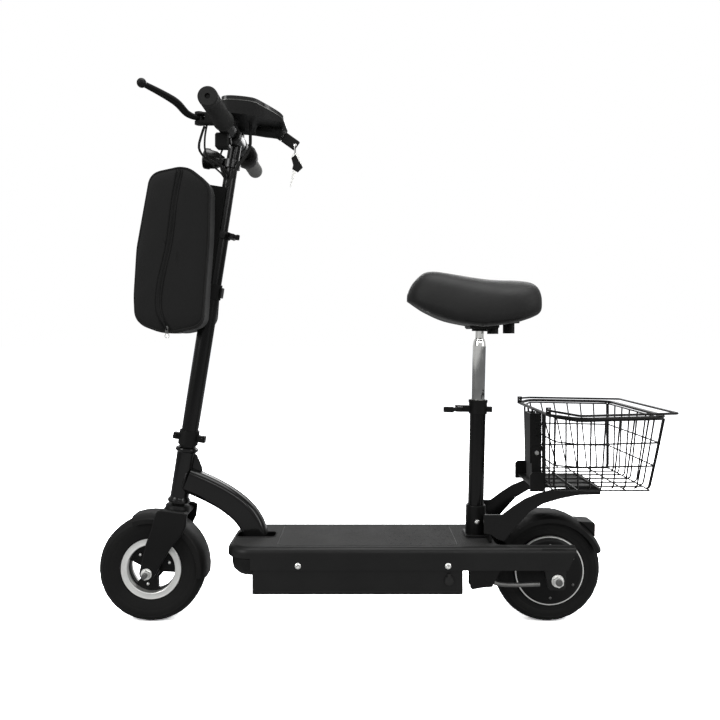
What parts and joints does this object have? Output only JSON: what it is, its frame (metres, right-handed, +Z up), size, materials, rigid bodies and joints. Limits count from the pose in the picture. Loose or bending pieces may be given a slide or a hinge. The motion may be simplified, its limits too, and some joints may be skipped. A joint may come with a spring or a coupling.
{
  "type": "electric scooter",
  "caption": "Seated electric scooter with a telescopic stem, front bag, console, saddle on a post, wire basket on a curved rack and a hub motor rear wheel.",
  "frame": {"origin": "on the ground under the middle of the whole outline", "axes": "+X towards the rear, -X is the direction of travel, +Z up, -Y is the scooter's left side"},
  "size_m": [1.045, 0.506, 0.9776],
  "materials": {
    "gloss_black_paint": "gloss",
    "satin_black_paint": "satin",
    "black_alloy": "satin",
    "black_plastic": "satin",
    "gloss_plastic": "gloss",
    "grey_plastic": "satin",
    "black_rubber": "matte",
    "grey_rubber": "matte",
    "tyre_rubber": "matte",
    "bright_steel": "brushed",
    "chrome": "polished",
    "motor_core": "wound copper on steel",
    "cell_wrap": "film",
    "bag_fabric": "woven",
    "saddle_cover": "satin vinyl",
    "red_lens": "lens",
    "basket_wire": "satin"
  },
  "bodies": {
    "chassis": {"neck_frame": "gloss_black_paint", "deck_shell": "satin_black_paint", "nose_cap": "black_plastic", "battery_box": "satin_black_paint", "battery_pack": "cell_wrap", "controller": "black_alloy", "box_bolt_front": "bright_steel", "box_bolt_rear": "bright_steel", "seat_socket": "satin_black_paint", "seat_tube": "satin_black_paint", "seat_clamp": "black_alloy", "rack_arm_left": "satin_black_paint", "rack_arm_right": "satin_black_paint", "basket_bracket": "satin_black_paint", "basket_floor": "basket_wire", "basket_front": "basket_wire", "basket_rear": "basket_wire", "basket_left": "basket_wire", "basket_right": "basket_wire", "basket_rim": "basket_wire", "rear_fender": "black_plastic", "tail_light": "red_lens", "rear_axle": "bright_steel", "motor_stator": "motor_core", "kickstand_bracket": "satin_black_paint"},
    "steering": {"fork": "satin_black_paint", "front_fender": "black_plastic", "front_axle": "bright_steel", "stem_lower": "black_alloy", "stem_clamp": "black_alloy", "stem_collar": "black_alloy", "bag": "bag_fabric", "bag_strap": "bag_fabric"},
    "front_wheel": {"front_tyre": "tyre_rubber", "front_rim": "black_alloy"},
    "rear_wheel": {"rear_tyre": "tyre_rubber", "motor_shell": "black_alloy"},
    "bars": {"stem_upper": "black_alloy", "handlebar": "black_alloy", "grip_left": "black_rubber", "lever_bracket": "black_alloy", "console_base": "black_plastic", "console_lid": "gloss_plastic", "headlight": "black_plastic", "throttle_housing": "black_plastic", "brake_cable": "black_rubber", "wire_loom": "black_rubber"},
    "saddle_unit": {"seat_post": "chrome", "saddle": "saddle_cover", "saddle_base": "black_plastic"},
    "brake_lever": {"brake_lever": "black_alloy"},
    "horn_button": {"horn_button": "grey_plastic"},
    "throttle": {"throttle_grip": "grey_rubber"},
    "ignition_key": {"ignition_key": "black_plastic"},
    "spare_key": {"spare_key": "black_plastic"},
    "seat_lever": {"seat_lever": "black_alloy"},
    "stem_lever": {"stem_lever": "black_alloy"},
    "kickstand": {"kickstand_leg": "satin_black_paint"},
    "basket_handle": {"basket_handle": "basket_wire"},
    "charge_cap": {"charge_cap": "black_rubber"}
  },
  "joints": [
    {"name": "steering_turn", "type": "hinge", "parent": "chassis", "child": "steering", "pos_m": [-0.37451, 0, 0.224], "axis": [0.1564, 0, 0.9877], "range_deg": [-50, 50]},
    {"name": "front_wheel_spin", "type": "hinge", "parent": "steering", "child": "front_wheel", "pos_m": [-0.4225, 0, 0.1], "axis": [0, 1, 0], "continuous": true},
    {"name": "rear_wheel_spin", "type": "hinge", "parent": "chassis", "child": "rear_wheel", "pos_m": [0.3275, 0, 0.1], "axis": [0, 1, 0], "continuous": true},
    {"name": "stem_height", "type": "slide", "parent": "steering", "child": "bars", "axis": [0.1564, 0, 0.9877], "range_m": [0, 0.1]},
    {"name": "saddle_height", "type": "slide", "parent": "chassis", "child": "saddle_unit", "axis": [0.0227, 0, 0.9997], "range_m": [-0.09, 0.05]},
    {"name": "brake_lever_pull", "type": "hinge", "parent": "bars", "child": "brake_lever", "pos_m": [-0.30916, -0.111, 0.9224], "axis": [0, 0, 1], "range_deg": [0, 25], "stiffness_Nm_per_rad": 0.5, "springref_deg": -11.46},
    {"name": "throttle_twist", "type": "hinge", "parent": "bars", "child": "throttle", "pos_m": [-0.26516, 0.194, 0.9144], "axis": [0, 1, 0], "range_deg": [0, 70], "stiffness_Nm_per_rad": 0.15, "springref_deg": -17.19},
    {"name": "horn_press", "type": "slide", "parent": "bars", "child": "horn_button", "axis": [-1, 0, 0], "range_m": [0, 0.002], "stiffness_N_per_m": 300, "springref_m": -0.002},
    {"name": "key_turn", "type": "hinge", "parent": "bars", "child": "ignition_key", "pos_m": [-0.17466, 0, 0.9222], "axis": [0.8128, 0, -0.5826], "range_deg": [0, 90]},
    {"name": "spare_key_swing", "type": "hinge", "parent": "ignition_key", "child": "spare_key", "pos_m": [-0.1519, 0, 0.90589], "axis": [0, 1, 0], "range_deg": [-30, 30]},
    {"name": "stem_lever_open", "type": "hinge", "parent": "steering", "child": "stem_lever", "pos_m": [-0.27122, -0.017, 0.72916], "axis": [-0.1564, 0, -0.9877], "range_deg": [0, 120]},
    {"name": "seat_lever_open", "type": "hinge", "parent": "chassis", "child": "seat_lever", "pos_m": [0.16128, -0.017, 0.40178], "axis": [0.0227, 0, 0.9997], "range_deg": [0, 120]},
    {"name": "kickstand_fold", "type": "hinge", "parent": "chassis", "child": "kickstand", "pos_m": [0.203, -0.071, 0.0985], "axis": [0, 0.9781, -0.2079], "range_deg": [0, 80]},
    {"name": "basket_handle_swing", "type": "hinge", "parent": "chassis", "child": "basket_handle", "pos_m": [0.3035, 0, 0.41], "axis": [0, -1, 0], "range_deg": [0, 80]},
    {"name": "charge_cap_flip", "type": "hinge", "parent": "chassis", "child": "charge_cap", "pos_m": [0.1327, -0.0848, 0.113], "axis": [-1, 0, 0], "range_deg": [0, 120]}
  ]
}
